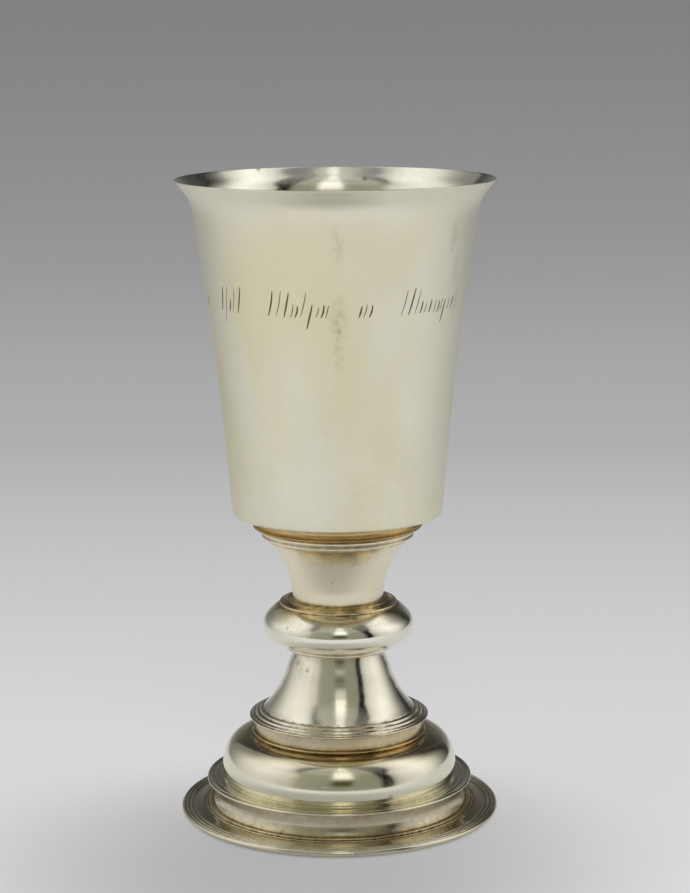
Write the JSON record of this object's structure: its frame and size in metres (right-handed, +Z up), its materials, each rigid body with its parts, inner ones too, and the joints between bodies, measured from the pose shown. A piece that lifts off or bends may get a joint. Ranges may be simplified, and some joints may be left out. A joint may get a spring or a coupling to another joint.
{
  "type": "communion cup",
  "caption": "Tall silver-gilt cup: flaring beaker bowl with an everted lip, on a hollow turned stem with a round knop, over a stepped, domed foot.",
  "frame": {"origin": "middle of the foot, on the surface that the cup stands on", "axes": "+Z up along the cup's axis, from the foot to the lip; -Y faces the viewer, towards the front of the engraved band"},
  "size_m": [0.1234, 0.1234, 0.245],
  "materials": {
    "bowl_silver": "satin, pale silver-gilt, finely scratched",
    "foot_silver": "polished silver with worn gilding, turned lines",
    "gilding": "old gilding, darkened, satin"
  },
  "bodies": {
    "root": {"foot_base": "foot_silver", "foot_dome": "foot_silver", "foot_drum": "gilding", "lower_stem": "foot_silver", "knop": "foot_silver", "upper_stem": "bowl_silver", "bowl_ring": "gilding", "bowl": "bowl_silver"}
  },
  "joints": []
}
